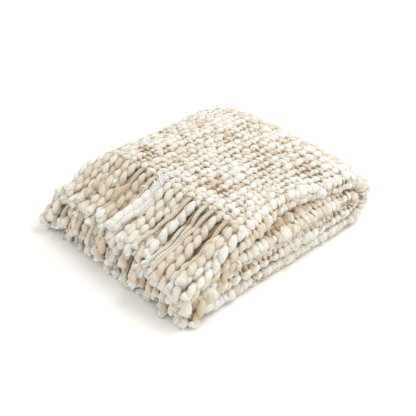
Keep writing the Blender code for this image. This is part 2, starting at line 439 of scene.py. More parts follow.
    def spread_along(self, w: Array, s: Array) -> Array:
        """How much wider apart the wefts lie on the outside of the end turns.

        Args:
            w: Distances across the width.
            s: Distances along the length.

        Returns:
            The factors, 1 away from the turns.
        """
        on_top = between(w, self.tight_fold[0], self.wide_fold[1])
        wide = between(s, *self.right_turn) * (self.pitch + self.ply / 2) / self.wide
        tight = between(s, *self.left_turn) * (self.pitch + self.ply / 2) / self.tight
        return 1 + on_top * (wide + tight)

    def exposed(self, w: Array, s: Array) -> Array:
        """Where the cloth can be seen from outside the pile, with a margin into its slits.

        Args:
            w: Distances across the width.
            s: Distances along the length.

        Returns:
            True at each place that can be seen.
        """
        margin = self.sight_margin
        inside, strip, opening = 3 * margin, 1.3 * margin, 2.2 * margin
        low, high = self.tight_fold[0] - margin, self.wide_fold[1] + margin
        outside = (w > low) & (w < high) & (s < self.left_turn[1] + inside)
        far_side = (w > low) & (w < self.tight_fold[1] + margin)
        near_side = (w > self.wide_fold[0] - margin) & (w < high)
        edge = w > self.width - strip
        ends = (s < margin) | (s > self.length - margin)
        deep = (w > self.wide_fold[0] - opening) & (w < self.wide_fold[1] + opening)
        tucked = deep & ((s < self.along[0].length) | (s > self.length - self.along[-1].length))
        return outside | far_side | near_side | edge | ends | tucked


# ---- Yarns ----


class Shade(Enum):
    """The colours that the roving is dyed in, as places on the wool's colour band."""

    WHITE = 0.06
    IVORY = 0.30
    CREAM = 0.52
    SAND = 0.74
    BLUSH = 0.96


# How much of a yarn has each shade, in the order of Shade.
CLOTH_SHADES = (0.50, 0.30, 0.11, 0.04, 0.05)
FRINGE_SHADES = (0.17, 0.27, 0.33, 0.14, 0.09)


@dataclass
class Spun:
    """One yarn's make at each place along it.

    girth is half its thickness, tint its place on the colour band, phase the turns that the
    binder thread has made, thread the cosine beyond which a point is under that thread, and
    groove how deep the thread cuts in, as a share of the girth.
    """

    girth: Array
    tint: Array
    phase: Array
    thread: Array
    groove: Array

    @classmethod
    def unbound(cls, girth: Array, tint: float) -> "Spun":
        """The make of loose fibres of one colour, which no binder thread holds."""
        none = np.zeros_like(girth)
        return cls(girth, none + tint, none, none + NO_BINDER, none)

    def part(self, where: slice) -> "Spun":
        """A copy of the make over a part of the yarn."""
        return Spun(*(getattr(self, item.name)[where].copy() for item in fields(Spun)))


@dataclass
class Spinner:
    """Spins slub yarn: soft roving that swells and thins, wound round by a fine binder thread."""

    seed: int
    thin_share: float = 0.3
    thin: Pair = (0.5, 0.68)
    thick: Pair = (0.9, 1.2)
    leanest: float = 0.56
    slub_length: Pair = (22 * MM, 60 * MM)
    slub_change: float = 14 * MM
    shade_length: Pair = (30 * MM, 140 * MM)
    shade_change: float = 9 * MM
    shade_scatter: float = 0.05
    thread_width: float = 0.9 * MM
    # How far the thread moves on in a turn: on a thin stretch, and as a share of a full girth.
    tight_wrap: float = 5.0 * MM
    open_wrap: float = 2.9
    groove_depth: float = 0.36
    thin_groove: float = 0.5
    shades: tuple[float, ...] = CLOTH_SHADES

    def __post_init__(self) -> None:
        """Start the yarn's own random stream."""
        self.rng = np.random.default_rng(self.seed)

    def _steps(self, total: float, lengths: Pair) -> Array:
        """Places along a run of `total` that are a random length apart."""
        ends = np.cumsum(self.rng.uniform(*lengths, int(total / lengths[0]) + 3))
        return ends - self.rng.uniform(0, lengths[1]) - lengths[0]

    def _eased(self, run: Array, places: Array, values: Array, soft: float) -> Array:
        """Hold each value from its place to the next, with a soft change between them.

        Args:
            run: Distances along the yarn.
            places: Where each value starts.
            values: The values.
            soft: How long a change takes.

        Returns:
            The value at each distance.
        """
        number = np.clip(np.searchsorted(places, run, side="right") - 1, 0, len(places) - 2)
        share = ease(1 - (places[number + 1] - run) / soft)
        return values[number] + (values[number + 1] - values[number]) * share

    def spin(self, run: Array, girth: float, leanness: Array, full: bool = False) -> Spun:
        """Spin one yarn.

        Args:
            run: Distances along the yarn, evenly spaced.
            girth: Half the yarn's usual thickness.
            leanness: 0 to 1 at each distance, where 1 makes it thin whatever the slubs say.
            full: Whether it has no thin slubs at all.

        Returns:
            The yarn's make at each distance.
        """
        total = float(run[-1]) + self.slub_length[1]
        places = self._steps(total, self.slub_length)
        slubs = self.rng.uniform(*self.thick, len(places))
        lean = (self.rng.random(len(places)) < self.thin_share) & (not full)
        slubs[lean] = self.rng.uniform(*self.thin, int(lean.sum()))
        size = self._eased(run, places, slubs, self.slub_change)
        size = size + (np.minimum(size, self.leanest) - size) * leanness
        places = self._steps(total, self.shade_length)
        shades = self.rng.choice([shade.value for shade in Shade], len(places), p=self.shades)
        shades = shades + self.rng.normal(0, self.shade_scatter, len(places))
        tint = self._eased(run, places, np.clip(shades, 0, 1), self.shade_change)
        fullness = ease((size - self.thin[1]) / (1.0 - self.thin[1]))
        wrap = self.tight_wrap + (self.open_wrap * girth * size - self.tight_wrap) * fullness
        turns = np.cumsum(float(run[1] - run[0]) / wrap[1:])
        phase = self.rng.random() + np.concatenate([[0.0], turns])
        thread = np.cos(np.pi * self.thread_width / wrap)
        groove = self.groove_depth * (self.thin_groove + (1 - self.thin_groove) * fullness)
        return Spun(girth * size, tint, phase, thread, groove)


@dataclass
class Skein:
    """Many yarns' middle lines with their make, ready to be swept into tubes."""

    points: list[Array] = field(default_factory=list)
    makes: list[Spun] = field(default_factory=list)
    shortest: int = 4
    # What closes a run's ends: the girth left at its last point, and at the one before it.
    closing: Pair = (0.25, 0.8)

    def add(self, points: Array, make: Spun, keep: Array | None = None) -> None:
        """Add a yarn, or only those of its runs that are kept.

        Args:
            points: The middle line as rows of three coordinates.
            make: The yarn's make at each point.
            keep: True at each point to keep, or None for all of them.
        """
        keep = np.ones(len(points), bool) if keep is None else keep
        edges = np.flatnonzero(np.diff(np.concatenate([[0], keep.astype(int), [0]])))
        for start, end in zip(edges[::2], edges[1::2]):
            if end - start < self.shortest:
                continue
            spun = make.part(slice(start, end))
            for inset, left in enumerate(self.closing):
                spun.girth[[inset, -1 - inset]] *= left
            self.points.append(points[start:end])
            self.makes.append(spun)

    def to_object(self, name: str) -> Piece:
        """Turn the skein into an object of edges.

        Args:
            name: The object's name.

        Returns:
            The middle lines, with the make stored on their points.
        """
        lengths = [len(points) for points in self.points]
        ends = set(np.cumsum(lengths) - 1)
        edges = [(number, number + 1) for number in range(sum(lengths)) if number not in ends]
        mesh = bpy.data.meshes.new(name)
        mesh.from_pydata(np.concatenate(self.points).tolist(), edges, [])
        for item in fields(Spun):
            values = np.concatenate([getattr(make, item.name) for make in self.makes])
            store_values(mesh, item.name, values)
        return add_object(name, mesh)


@dataclass
class YarnSweep:
    """Geometry Nodes that sweep every middle line of a skein into a grooved, lumpy tube."""

    name: str = "Swept slub yarn"
    lump_detail: float = 1.0

    def build(self) -> Tree:
        """Build the tree.

        Returns:
            The tree, whose inputs are the lines, their sides, squash, lumps and material.
        """
        tree = bpy.data.node_groups.new(self.name, "GeometryNodeTree")
        add = partial(add_node, tree)
        sockets = {"Geometry": "Geometry", "Sides": "Int", "Squash": "Float", "Seed": "Float"}
        sockets |= {"Lump share": "Float", "Lumps per metre": "Float", "Wool": "Material"}
        for name, kind in sockets.items():
            tree.interface.new_socket(
                name=name, in_out="INPUT", socket_type=f"NodeSocket{kind}"
            )
        tree.interface.new_socket(
            name="Geometry", in_out="OUTPUT", socket_type="NodeSocketGeometry"
        )
        given = tree.nodes.new("NodeGroupInput").outputs
        curve = add("GeometryNodeMeshToCurve", {"Mesh": given["Geometry"]})
        upright = add("GeometryNodeSetCurveNormal", {"Curve": curve}, mode="Z_UP")
        ring = {"Resolution": given["Sides"], "Radius": 1.0}
        ring = add("GeometryNodeCurvePrimitiveCircle", ring)
        place = add("GeometryNodeInputPosition")
        factor = add("GeometryNodeSplineParameter", out="Factor")
        held = []
        for kind, name, line, value in (
            ("VECTOR", "middle", upright, place),
            ("FLOAT", "turn", ring, factor),
        ):
            capture = tree.nodes.new("GeometryNodeCaptureAttribute")
            capture.capture_items.new(kind, name)
            tree.links.new(line, capture.inputs["Geometry"])
            tree.links.new(value, capture.inputs[1])
            held.append(capture.outputs)
        (lines, middle, *_), (profile, turn, *_) = held
        girth, phase, groove = (
            add("GeometryNodeInputNamedAttribute", {"Name": name}, data_type="FLOAT")
            for name in ("girth", "phase", "groove")
        )
        tube = {"Curve": lines, "Profile Curve": profile, "Scale": girth, "Fill Caps": True}
        tube = add("GeometryNodeCurveToMesh", tube)
        angle = add("ShaderNodeMath", (turn, 2 * math.pi), operation="MULTIPLY")
        sides = [add("ShaderNodeMath", (angle,), operation=kind) for kind in ("COSINE", "SINE")]
        around = add("ShaderNodeCombineXYZ", tuple(sides))
        stored = add(
            "GeometryNodeStoreNamedAttribute",
            {"Geometry": tube, "Name": "around", "Value": around},
            data_type="FLOAT_VECTOR",
            domain="POINT",
        )
        # How wide the tube is here: in at the binder's groove, and lumpy.
        wound = add("ShaderNodeMath", (phase, 2 * math.pi), operation="MULTIPLY")
        wound = add("ShaderNodeMath", (wound, angle), operation="ADD")
        near = add("ShaderNodeMath", (wound,), operation="COSINE")
        dip = add("ShaderNodeMapRange", (near, 0.0, 1.0), interpolation_type="SMOOTHSTEP")
        dip = add("ShaderNodeMath", (dip, groove), operation="MULTIPLY")
        lumps = {"Vector": place, "W": given["Seed"], "Scale": given["Lumps per metre"]}
        lumps["Detail"] = self.lump_detail
        lump = add("ShaderNodeTexNoise", lumps, noise_dimensions="4D")
        lump = add("ShaderNodeMath", (lump, 0.5), operation="SUBTRACT")
        lump = add("ShaderNodeMath", (lump, given["Lump share"]), operation="MULTIPLY")
        share = add("ShaderNodeMath", (lump, 1.0), operation="ADD")
        share = add("ShaderNodeMath", (share, dip), operation="SUBTRACT")
        # Where its points go: nearer or further from the middle line, and pressed flatter.
        away = add("ShaderNodeVectorMath", (place, middle), operation="SUBTRACT")
        flatter = add("ShaderNodeCombineXYZ", (1.0, 1.0, given["Squash"]))
        away = add("ShaderNodeVectorMath", (away, flatter), operation="MULTIPLY")
        away = add("ShaderNodeVectorMath", {0: away, "Scale": share}, operation="SCALE")
        moved = add("ShaderNodeVectorMath", (middle, away), operation="ADD")
        moved = add("GeometryNodeSetPosition", {"Geometry": stored, "Position": moved})
        real = add("GeometryNodeRealizeInstances", (add("GeometryNodeSetShadeSmooth", (moved,)),))
        dressed = add("GeometryNodeSetMaterial", {"Geometry": real, "Material": given["Wool"]})
        tree.links.new(dressed, tree.nodes.new("NodeGroupOutput").inputs[0])
        return tree


@dataclass
class Loom:
    """Turns skeins into finished tube meshes of one wool, with a shared sweep."""

    sweep: Tree
    wool: Material
    lumps_per_metre: float = 90.0

    def sweep_skein(
        self, skein: Skein, name: str, sides: int, squash: float, lump: float, seed: int
    ) -> Piece:
        """Sweep a skein into one plain mesh object.

        Args:
            skein: The yarns' middle lines.
            name: The finished object's name.
            sides: How many sides a yarn has.
            squash: How thick a yarn is through the cloth, as a share of its width.
            lump: How uneven it is, as a share of its girth.
            seed: Which lumps it gets.

        Returns:
            The object, with its modifier already turned into mesh.
        """
        lines = skein.to_object(f"{name}_lines")
        modifier = lines.modifiers.new("Sweep", "NODES")
        modifier.node_group = self.sweep
        values = {"Sides": sides, "Squash": squash, "Lump share": lump, "Seed": seed}
        values |= {"Lumps per metre": self.lumps_per_metre, "Wool": self.wool}
        for socket in self.sweep.interface.items_tree:
            if socket.in_out == "INPUT" and socket.name in values:
                modifier[socket.identifier] = values[socket.name]
        graph = bpy.context.evaluated_depsgraph_get()
        mesh = bpy.data.meshes.new_from_object(lines.evaluated_get(graph))
        mesh.name = name
        line_mesh = lines.data
        bpy.data.objects.remove(lines, do_unlink=True)
        bpy.data.meshes.remove(line_mesh)
        return add_object(name, mesh)


# ---- Weaving ----


@dataclass
class Patches:
    """Soft random patches over the flat cloth, about `size` across."""

    seed: int
    size: float = 55 * MM
    cells: int = 40

    def __post_init__(self) -> None:
        """Draw the patches' values on a coarse grid."""
        self.grid = np.random.default_rng(self.seed).normal(0, 1, (self.cells, self.cells))

    def at(self, w: Array, s: Array) -> Array:
        """The patches' values at places on the flat cloth.

        Args:
            w: Distances across the width.
            s: Distances along the length.

        Returns:
            The values, about -2 to 2.
        """
        u, v = (w / self.size) % (self.cells - 1), (s / self.size) % (self.cells - 1)
        i, j = u.astype(int), v.astype(int)
        a, b = ease(u - i), ease(v - j)
        low = self.grid[i, j] * (1 - a) + self.grid[i + 1, j] * a
        high = self.grid[i, j + 1] * (1 - a) + self.grid[i + 1, j + 1] * a
        return low * (1 - b) + high * b


@dataclass(frozen=True)
class YarnSet:
    """The wefts or the warps: how they are spun, and how they pass over and under the others."""

    count: int
    girth: float
    seed: int
    thin_share: float
    # Which lumps its first piece gets; each next piece gets the next ones.
    first_lumps: int
    # The side of the cloth on which the first yarn starts.
    side: int
    # A yarn's share of its girth where it crosses the cloth's middle, and what a crest adds.
    pinch: Pair
    # The power of the spread round the turns by which its girth grows.
    fills: float
    # Its swing as a share of the usual one, and what a full girth adds.
    swing: Pair
    inset: float = 0.0


WEFTS = YarnSet(
    count=127,
    girth=8.4 * MM,
    seed=21,
    thin_share=0.16,
    first_lumps=1,
    side=1,
    pinch=(0.62, 0.38),
    fills=0.7,
    swing=(0.6, 0.4),
    inset=1.5 * MM,
)
WARPS = YarnSet(
    count=64,
    girth=9.4 * MM,
    seed=22,
    thin_share=0.12,
    first_lumps=11,
    side=-1,
    pinch=(0.66, 0.34),
    fills=0.5,
    swing=(1.0, 0.0),
)


@dataclass
class Weave:
    """The cloth's plain weave: puffy wefts across it over and under fewer, firmer warps."""

    fold: Fold
    loom: Loom
    wefts: YarnSet = WEFTS
    warps: YarnSet = WARPS
    swing: float = 3.0 * MM
    crest_flatness: float = 0.75
    ring_step: float = 3.3 * MM
    sides: int = 10
    squash: float = 0.74
    lump: float = 0.45
    puffing: float = 0.13
    drift: float = 2.6 * MM
    drift_from_end: float = 40 * MM
    thin_from: float = 1.0
    thin_to: float = 2.1
    # Yarns under this height above the floor are pressed toward the height they stay clear of.
    floor_press: float = 2 * MM
    floor_give: float = 3 * MM
    floor_clear: float = 0.3 * MM
    # Painted shade on the yarns' low sides: the height off the cloth's middle under which it
    # starts, how much lower it is full, and its strength away from the lean patches.
    painted_shade_from: float = 7.0 * MM
    painted_shade_depth: float = 6.0 * MM
    painted_shade_full: float = 0.68

    def __post_init__(self) -> None:
        """Set the yarns' pitches and the cloth's random patches."""
        self.weft_pitch = self.fold.length / self.wefts.count
        self.warp_pitch = self.fold.width / self.warps.count
        self.lean_patches = Patches(seed=2811)
        self.drift_w = Patches(seed=6, size=80 * MM)
        self.drift_s = Patches(seed=7, size=64 * MM)
        self.puff = Patches(seed=8, size=24 * MM)

    def leanness(self, w: Array, s: Array) -> Array:
        """0 where the yarns are full, and 1 inside the patches where they are thin."""
        lean = self.lean_patches.at(w, s) - self.thin_from
        return ease(lean / (self.thin_to - self.thin_from))

    def _line(self, w: Array, s: Array, h: Array) -> Array:
        """A yarn's middle line on the flat cloth, drifted with the rest of the weave.

        Args:
            w: Distances across the width.
            s: Distances along the length.
            h: Heights off the middle of the cloth.

        Returns:
            The line as rows of three coordinates.
        """
        inside = ease(np.minimum(s, self.fold.length - s) / self.drift_from_end)
        along = s + self.drift * self.drift_s.at(w, s) * inside
        return np.stack([w + self.drift * self.drift_w.at(w, s), along, h], axis=1)

    def _swing(self, angle: Array) -> Array:
        """A yarn's rise and fall over its crossings, -1 to 1, flatter on its crests than a sine."""
        wave = np.cos(angle)
        return np.sign(wave) * np.abs(wave) ** self.crest_flatness

    def lay(self, yarns: YarnSet, numbers: range, spinner: Spinner) -> Skein:
        """Lay some of the wefts or of the warps.

        Args:
            yarns: The wefts or the warps.
            numbers: Which of them, from the top fringed end or from the inner flap's edge.
            spinner: What spins them.

        Returns:
            The skein of those of their runs that can be seen.
        """
        skein = Skein()
        across = yarns is self.wefts
        size, pitch, other = self.fold.width, self.weft_pitch, self.warp_pitch
        if not across:
            size, pitch, other = self.fold.length, other, pitch
        run = np.arange(yarns.inset, size - yarns.inset, self.ring_step)
        for number in numbers:
            beside = np.full_like(run, (number + 0.5) * pitch)
            w, s = (run, beside) if across else (beside, run)
            spread = self.fold.spread_along(w, s) if across else self.fold.spread_across(w)
            make = spinner.spin(run, yarns.girth, self.leanness(w, s))
            wave = yarns.side * self._swing(math.pi * (run / other - 0.5 + number))
            swing = yarns.swing[0] + yarns.swing[1] * (make.girth / yarns.girth)
            make.girth *= (yarns.pinch[0] + yarns.pinch[1] * np.abs(wave)) * spread**yarns.fills
            make.girth *= 1 + self.puffing * self.puff.at(w, s)
            line = self._line(w, s, self.swing * swing * wave)
            skein.add(line, make, self.fold.exposed(w, s))
        return skein

    def sweep(self, skein: Skein, name: str, seed: int) -> Piece:
        """Sweep a skein flat, then carry its tubes to the folded pile.

        Args:
            skein: The yarns' middle lines on the flat cloth.
            name: The finished piece's name.
            seed: Which lumps it gets.

        Returns:
            The finished piece.
        """
        piece = self.loom.sweep_skein(skein, name, self.sides, self.squash, self.lump, seed)
        flat = read_values(piece.data, "position", 3)
        flat[:, 0] = np.clip(flat[:, 0], 0.0, self.fold.width)
        # Painted shade on the yarns' low sides, full in the lean patches, and in the slits between
        # the layers.
        painted_shade = ease((self.painted_shade_from - np.abs(flat[:, 2])) / self.painted_shade_depth)
        lean = self.leanness(flat[:, 0], flat[:, 1])
        painted_shade *= self.painted_shade_full + (1 - self.painted_shade_full) * lean
        store_values(piece.data, "painted_shade", np.maximum(painted_shade, self.fold.slit_shade(*flat.T)))
        placed = self.fold.place(*flat.T)
        height, press = placed[:, 2], self.floor_press
        low = height < press
        sunk = np.exp((height[low] - press) / self.floor_give)
        height[low] = self.floor_clear + (press - self.floor_clear) * sunk
        write_points(piece.data, placed)
        return piece

    def build(self) -> list[Piece]:
        """Weave the whole cloth.

        Returns:
            Its pieces: the wefts in four and the warps in two.
        """
        top, turn, base = (
            int(place / self.weft_pitch)
            for place in (*self.fold.right_turn, self.fold.left_turn[1])
        )
        wefts = {
            "wefts_top": range(0, top),
            "wefts_turn": range(top, turn),
            "wefts_base": range(turn, base),
            "wefts_inner": range(base, self.wefts.count),
        }
        count = self.warps.count
        warps = {"warps_inner": range(0, count // 2), "warps_outer": range(count // 2, count)}
        pieces = []
        for yarns, parts in ((self.wefts, wefts), (self.warps, warps)):
            spinner = Spinner(yarns.seed, yarns.thin_share)
            for lumps, (name, numbers) in enumerate(parts.items(), yarns.first_lumps):
                pieces.append(self.sweep(self.lay(yarns, numbers, spinner), name, lumps))
        return pieces


@dataclass
class GroundCloth:
    """The cloth's closed body, which fills the weave from behind and shows only in its holes."""

    fold: Fold
    half_thickness: float = 1.2 * MM
    inset: float = 10 * MM
    flat_step: float = 20 * MM
    turn_step: float = 5 * MM
    floor_clear: float = 0.5 * MM

    def _stations(self, length: float, turns: list[Pair]) -> Array:
        """Choose places along the cloth, which stand closer together in its turns.

        Args:
            length: The cloth's size in this direction.
            turns: Where each turn starts and ends.

        Returns:
            The places in order.
        """
        last = length - self.inset
        marks = sorted([self.inset, last, *(mark for turn in turns for mark in turn)])
        places = []
        for start, end in zip(marks, marks[1:]):
            inside = any(low <= start and end <= high for low, high in turns)
            count = max(int((end - start) / (self.turn_step if inside else self.flat_step)), 1)
            places.append(np.linspace(start, end, count, endpoint=False))
        return np.append(np.concatenate(places), last)

    def build(self, wool: Material) -> Piece:
        """Build the closed shell: an outer skin, an inner one, and a rim round their edges.

        Args:
            wool: The material that it wears.

        Returns:
            The finished piece.
        """
        w = self._stations(self.fold.width, [self.fold.tight_fold, self.fold.wide_fold])
        s = self._stations(self.fold.length, self.fold.turns)
        across, along = (grid.ravel() for grid in np.meshgrid(w, s))
        points = np.concatenate([
            self.fold.place(across, along, np.full(across.size, side * self.half_thickness))
            for side in (1, -1)
        ])
        points[:, 2] = np.maximum(points[:, 2], self.floor_clear)
        number = np.arange(len(s) * len(w)).reshape(len(s), len(w))
        other = number + number.size
        a, b, c, d = number[:-1, :-1], number[:-1, 1:], number[1:, 1:], number[1:, :-1]
        faces = [np.stack([a, b, c, d], axis=-1).reshape(-1, 4)]
        faces.append(np.stack([a, d, c, b], axis=-1).reshape(-1, 4) + number.size)
        for top, base in ((number[0], other[0]), (number[:, -1], other[:, -1])):
            faces.append(np.stack([top[1:], top[:-1], base[:-1], base[1:]], axis=-1))
        for top, base in ((number[-1], other[-1]), (number[:, 0], other[:, 0])):
            faces.append(np.stack([top[:-1], top[1:], base[1:], base[:-1]], axis=-1))
        mesh = bpy.data.meshes.new("ground_cloth")
        mesh.from_pydata(points.tolist(), [], np.concatenate(faces).tolist())
        mesh.materials.append(wool)
        mesh.shade_smooth()
        return add_object("ground_cloth", mesh)


# ---- Fringe ----


@dataclass
class Heap:
    """Heights of whatever already lies under the strands, on an even grid over the floor."""

    x_low: float = -0.36
    y_low: float = -0.30
    x_high: float = 0.05
    y_high: float = 0.30
    cell: float = 2 * MM
    evening: float = 30 * MM
    cloth_half: float = 6.5 * MM
    cloth_columns: int = 640

    def __post_init__(self) -> None:
        """Start with the bare floor."""
        columns = int((self.x_high - self.x_low) / self.cell) + 2
        rows = int((self.y_high - self.y_low) / self.cell) + 2
        self.heights = np.zeros((columns, rows))
        self.bed = self.heights

    def _cell_of(self, x: Array, y: Array) -> tuple[Array, Array]:
        """The grid cells that hold the given places."""
        cells = ((x - self.x_low) / self.cell, (y - self.y_low) / self.cell)
        return tuple(np.clip(c.astype(int), 0, n - 1) for c, n in zip(cells, self.heights.shape))

    def make_bed(self) -> None:
        """Even the heap out across the strands, for the next ply of them to lie on."""
        window = np.hanning(int(self.evening / self.cell) + 2)
        window /= window.sum()
        half = len(window) // 2
        padded = np.pad(self.heights, ((0, 0), (half, half)), mode="edge")
        count = self.heights.shape[1]
        self.bed = sum(share * padded[:, i : i + count] for i, share in enumerate(window))

    def bed_at(self, x: Array, y: Array) -> Array:
        """The heights of the bed at the given places."""
        return self.bed[self._cell_of(np.asarray(x), np.asarray(y))]

    def pile(self, x: Array, y: Array, z: Array) -> None:
        """Raise the heap to the given heights wherever it is lower."""
        np.maximum.at(self.heights, self._cell_of(x, y), z)

    def pile_tube(self, points: Array, girth: Array, squash: float) -> None:
        """Raise the heap to the upper side of a yarn that has been laid on it.

        Args:
            points: The yarn's middle line.
            girth: Half its width at each point.
            squash: Its height as a share of its width.
        """
        step = np.gradient(points[:, :2], axis=0)
        side = np.stack([-step[:, 1], step[:, 0]], axis=1)
        side /= np.maximum(np.linalg.norm(side, axis=1, keepdims=True), 1e-9)
        reach, lines = 0.9, 9
        for across in np.linspace(-reach, reach, lines):
            x, y = (points[:, :2] + side * (across * girth)[:, None]).T
            self.pile(x, y, points[:, 2] + squash * girth * math.sqrt(1 - across**2))

    def pile_cloth(self, fold: Fold, s_low: float, s_high: float) -> None:
        """Raise the heap to the part of the cloth between two places along its length.

        Args:
            fold: The folded cloth.
            s_low: The first place.
            s_high: The last place.
        """
        across = np.linspace(0, fold.width, self.cloth_columns)
        w, s = (grid.ravel() for grid in np.meshgrid(across, np.arange(s_low, s_high, self.cell)))
        for side in (1, -1):
            self.pile(*fold.place(w, s, np.full(w.size, side * self.cloth_half)).T)


@dataclass
class FringedEnd:
    """One fringed end of the throw, and what its strands share while they are laid."""

    name: str
    seed: int
    # Where the end is along the cloth, and the sign in which its strands leave it.
    s: float
    outward: int
    length: Pair
    longer_near: float
    steepest: float
    arch: float = 0.0
    loose_at: float | None = None
    thin_run: int = 0
    tufts: Skein = field(default_factory=Skein)

    def __post_init__(self) -> None:
        """Start the end's random stream, and what spins its strands."""
        self.rng = np.random.default_rng(self.seed)
        self.spinner = Spinner(
            seed=self.seed + 1,
            thin_share=0.08,
            slub_length=(50 * MM, 130 * MM),
            shade_length=(110 * MM, 300 * MM),
            shades=FRINGE_SHADES,
        )


@dataclass
class Fringe:
    """Lays the loose ends of the warps, each over the edge, on what lies below, or on the floor."""

    fold: Fold
    weave: Weave
    loom: Loom
    fleece: Loom
    heap: Heap
    ring_step: float = 1.6 * MM
    sides: int = 10
    girth: float = 8.2 * MM
    squash: float = 0.86
    lump: float = 0.3
    root_inset: float = 6 * MM
    # How a strand hangs: its bend over the edge, its sideways turn, and its waves, in degrees.
    bend_radius: float = 50 * MM
    stiffness: Pair = (0.8, 1.3)
    arch_span: float = 110 * MM
    arch_from: float = 0.35
    arch_fade: float = 0.12
    sink: float = 0.15
    climb: float = 0.4
    yaw_spread: float = 1.8
    gather: float = -1.0
    curl: float = 6.0
    wobble: float = 3.0
    waves: Pair = (3.0, 8.0)
    wave_grows: float = 4.0
    soften: int = 17
    floor_clear: float = 0.3 * MM
    # Which strands are thin, at most two beside each other, and which are full or short.
    thin_strands: float = 0.42
    thin_most: int = 2
    edge_from: float = 0.4
    short_edge: float = 0.03
    short_from: float = 0.4
    short_over: float = 0.05
    # The barely spun strand, beside the others: wider, whiter, smoother and without its binder.
    loose_girth: float = 1.1
    loose_tint: float = 0.1
    loose_groove: float = 0.35
    loose_thread: float = 0.9
    # The tip: how far the twist has come undone, and how far it has opened and bleached.
    tuft: float = 17 * MM
    tuft_flare: Pair = (0.0, 0.4)
    tuft_bleach: float = 0.8
    tip_thread: float = 1.02
    tip_rings: int = 7
    tip_closing: float = 0.97
    locks: int = 7
    lock_rings: tuple[float, ...] = (0.0, 0.35, 0.65, 0.85, 0.95, 1.0)
    lock_length: Pair = (10 * MM, 14 * MM)
    lock_girth: float = 4.8 * MM
    lock_sizes: Pair = (0.7, 1.1)
    lock_tints: Pair = (0.0, 0.6)
    centre_lock: float = 1.3
    lock_taper: float = 0.2
    lock_spread: float = 12.0
    lock_leans: Pair = (0.3, 1.0)
    lock_sag: float = 0.25
    # How many rings before the tip its direction, its locks' roots and their circle are taken.
    tip_back: int = 6
    lock_back: int = 8
    circle_back: int = 10
    lock_sides: int = 6
    lock_squash: float = 0.9
    lock_lump: float = 0.9
    # The shade between strands, which a loose tip, with a thread beyond the first value, lacks.
    painted_shade_depth: float = 6 * MM
    painted_shade_thread: Pair = (0.97, 0.04)
    # The flyaway fibres at the root of the barely spun strand, and their fan in radians.
    puff_fibres: int = 44
    puff_points: int = 6
    puff_rings: int = 30
    puff_fan: float = 1.3
    puff_backward: float = 0.4
    puff_bend: float = 0.9
    puff_taper: float = 0.6
    puff_girth: float = 1.5 * MM
    puff_sizes: Pair = (0.6, 1.4)
    puff_reach: Pair = (6 * MM, 20 * MM)
    puff_root: Pair = (-4 * MM, 14 * MM)
    puff_scatter: float = 5 * MM
    puff_height: float = 8.5 * MM
    puff_rise: float = 4 * MM
    puff_droop: float = 1 * MM

    def _wave(self, count: int, rng: np.random.Generator, size: float) -> Array:
        """A gentle random wave of angles along a strand, which starts at its root from nothing."""
        turns = np.linspace(0, rng.uniform(*self.waves), count) + rng.uniform(0, 2 * math.pi)
        return math.radians(size) * np.sin(turns) * ease(np.linspace(0, self.wave_grows, count))

    def _hang(self, end: FringedEnd, root: Array, make: Spun) -> Array:
        """Lay one strand from its root: it bends down under its weight until something holds it.

        Args:
            end: Which end it belongs to.
            root: Where it leaves the cloth.
            make: Its make at each ring.

        Returns:
            Its middle line as rows of three coordinates.
        """
        rng, count, step = end.rng, len(make.girth), self.ring_step
        inward = self.gather * max(-2 * root[1] / self.fold.pile_width, 0.0) ** 2
        heading = math.radians(rng.normal(inward, self.yaw_spread))
        heading = heading + self._wave(count, rng, self.curl)
        wobble = self._wave(count, rng, self.wobble)
        bend = step / (self.bend_radius * rng.uniform(*self.stiffness))
        line = np.empty((count, 3))
        line[0] = root
        slope = 0.0
        for number in range(1, count):
            x, y, z = line[number - 1]
            slope = min(slope + bend, math.radians(end.steepest))
            level = step * math.cos(slope + wobble[number])
            x -= level * math.cos(heading[number])
            y += level * math.sin(heading[number])
            lower = z - step * math.sin(slope + wobble[number])
            held = float(self.heap.bed_at(x, y)) + self.sink * self.squash * make.girth[number]
            held = max(held, self.squash * make.girth[number] + self.floor_clear)
            if lower < held:
                lower = min(held, z + self.climb * step)
                slope = max(math.atan2(z - lower, level), 0.0)
            line[number] = (x, y, lower)
        window = np.hanning(self.soften + 2)[1:-1]
        padded = np.pad(line[:, 2], self.soften // 2, mode="reflect", reflect_type="odd")
        line[:, 2] = np.convolve(padded, window / window.sum(), mode="valid")
        return line

    def _is_loosened(self, end: FringedEnd, root: Array) -> bool:
        """Whether the strand from this root is the barely spun one."""
        near = self.weave.warp_pitch / 2
        return end.loose_at is not None and abs(root[1] - end.loose_at) < near

